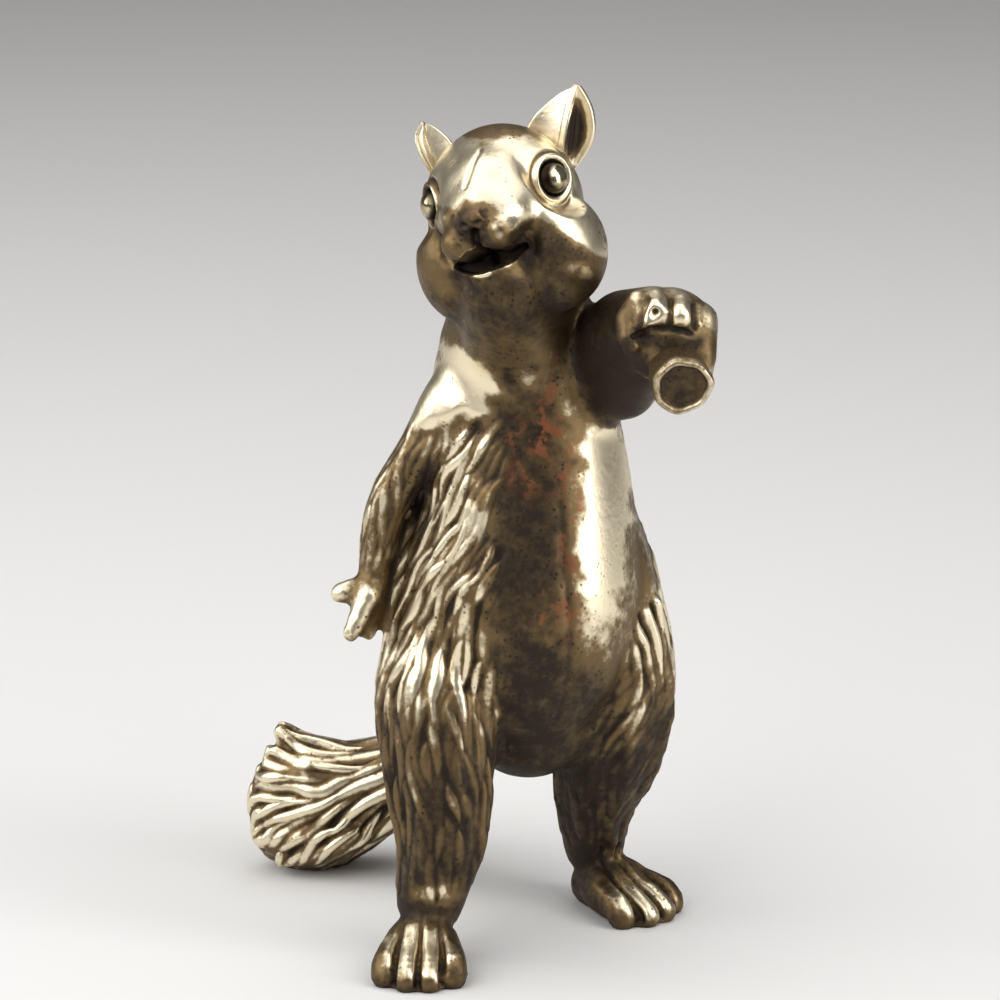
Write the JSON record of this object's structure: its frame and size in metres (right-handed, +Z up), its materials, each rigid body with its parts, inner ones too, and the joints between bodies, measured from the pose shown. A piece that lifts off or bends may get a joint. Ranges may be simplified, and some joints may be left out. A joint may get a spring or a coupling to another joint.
{
  "type": "squirrel figurine",
  "caption": "Patinated cast-brass squirrel ornament, standing upright on its hind feet and holding out a short round stub, with its bushy tail resting on the floor behind.",
  "frame": {"origin": "on the floor, under the middle of the figure's box", "axes": "+Z up; the squirrel steps towards -Y; its left side, with the raised arm, is +X"},
  "size_m": [0.0298, 0.0294, 0.055],
  "materials": {
    "cast_brass": "cast, darkened with a brown patina and rubbed bright on the high places",
    "polished_brass": "polished",
    "rod_brass": "drawn rod, as cut"
  },
  "bodies": {
    "root": {"trunk": "cast_brass", "head": "cast_brass", "right_ear": "cast_brass", "left_ear": "cast_brass", "right_eye": "polished_brass", "left_eye": "polished_brass", "right_arm": "cast_brass", "left_arm": "cast_brass", "held_stub": "cast_brass", "right_leg": "cast_brass", "left_leg": "cast_brass", "tail": "cast_brass", "neck_dowel": "rod_brass", "right_shoulder_dowel": "rod_brass", "left_shoulder_dowel": "rod_brass", "right_hip_dowel": "rod_brass", "left_hip_dowel": "rod_brass", "tail_dowel": "rod_brass"}
  },
  "joints": []
}
